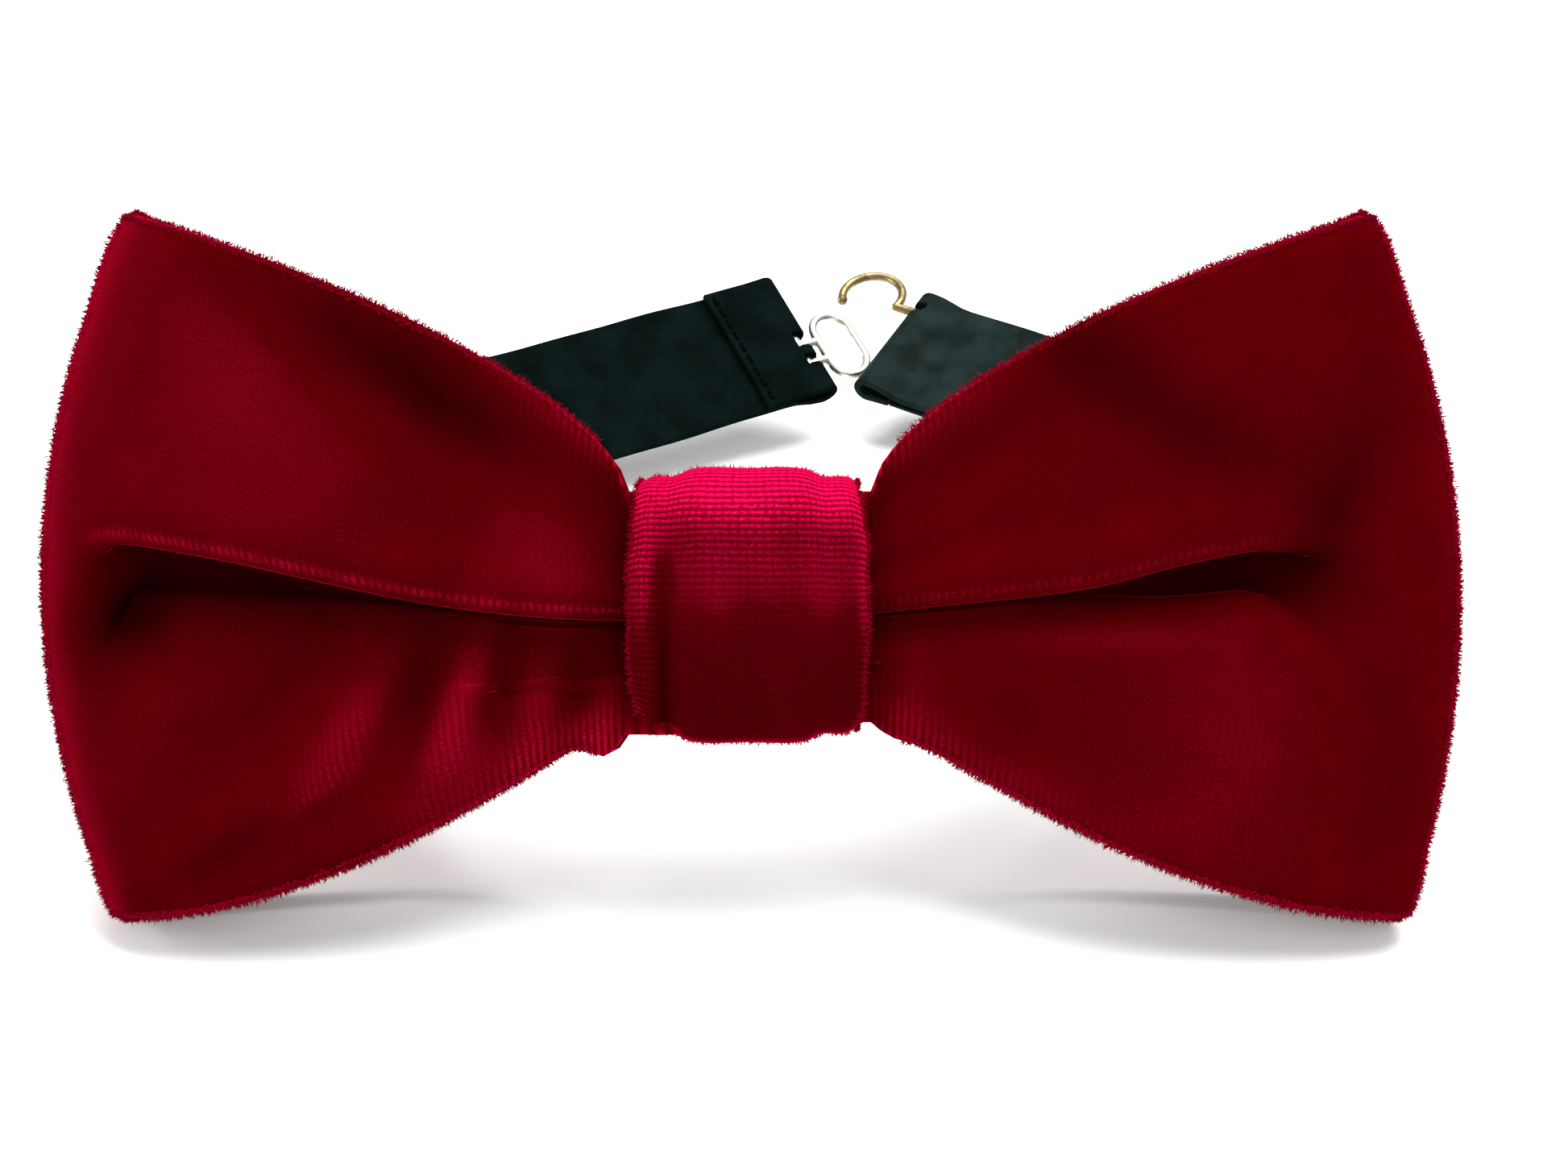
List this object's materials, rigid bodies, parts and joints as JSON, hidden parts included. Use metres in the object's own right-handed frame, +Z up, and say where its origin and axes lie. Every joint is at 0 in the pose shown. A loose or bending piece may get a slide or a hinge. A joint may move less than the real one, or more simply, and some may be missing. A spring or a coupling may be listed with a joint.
{
  "type": "bow tie",
  "caption": "Pre-tied velvet bow tie: pleated wing loops pinched by a knot band, on a black neck strap with a hook, an eye and a hidden length slider.",
  "frame": {"origin": "centre of the object's base, on the surface that it rests on, below the middle of its bounding box", "axes": "+X along the bow towards the wearer's left wing, -Y the side that the bow's front faces, +Z up"},
  "size_m": [0.1384, 0.1238, 0.0535],
  "materials": {
    "velvet": "ribbed cut velvet with a bright nap",
    "lining": "plain satin lining",
    "interlining": "white non-woven",
    "strap": "black twill-backed satin",
    "red_thread": "sewing thread",
    "black_thread": "sewing thread",
    "eye_metal": "polished pale nickel",
    "hook_metal": "aged brown brass",
    "slider_metal": "polished nickel"
  },
  "bodies": {
    "bow": {"bow_velvet": "velvet", "bow_interlining": "interlining", "bow_lining": "lining", "join_stitches": "red_thread", "pinch_thread": "black_thread", "knot_band": "velvet", "knot_interfacing": "interlining", "knot_stitches": "red_thread", "strap_front": "strap"},
    "left_run": {"strap_left": "strap", "left_hem": "strap", "left_hem_stitches": "black_thread"},
    "eye": {"eye": "eye_metal"},
    "right_run": {"strap_right": "strap"},
    "hook_fold": {"fold_sleeve": "strap", "return_layer": "strap", "fold_stitches": "black_thread"},
    "slider": {"slider": "slider_metal", "slider_loop": "strap", "slider_stitches": "black_thread"},
    "hook": {"hook": "hook_metal"}
  },
  "joints": [
    {"name": "left_run_flex", "type": "hinge", "parent": "bow", "child": "left_run", "pos_m": [-0.05169, 0.01753, 0.00842], "axis": [0, 0, 1], "range_deg": [0, 60]},
    {"name": "right_run_flex", "type": "hinge", "parent": "bow", "child": "right_run", "pos_m": [0.05028, 0.02453, 0.00667], "axis": [0, 0, -1], "range_deg": [0, 60]},
    {"name": "eye_pivot", "type": "hinge", "parent": "left_run", "child": "eye", "pos_m": [-0.00195, 0.04741, 0.01146], "axis": [-0.4607, 0.7129, 0.5287], "range_deg": [-40, 40]},
    {"name": "fold_run", "type": "slide", "parent": "right_run", "child": "hook_fold", "axis": [0.8539, -0.5131, -0.0872], "range_m": [0, 0.004]},
    {"name": "slider_run", "type": "slide", "parent": "hook_fold", "child": "slider", "axis": [0.8539, -0.5131, -0.0872], "range_m": [0, 0.004]},
    {"name": "hook_pivot", "type": "hinge", "parent": "hook_fold", "child": "hook", "pos_m": [0.0122, 0.04741, 0.01056], "axis": [0.5097, 0.7905, 0.3396], "range_deg": [-40, 40]}
  ],
  "couplings": [
    {"joint": "slider_run", "follows": "fold_run", "ratio": 1}
  ]
}
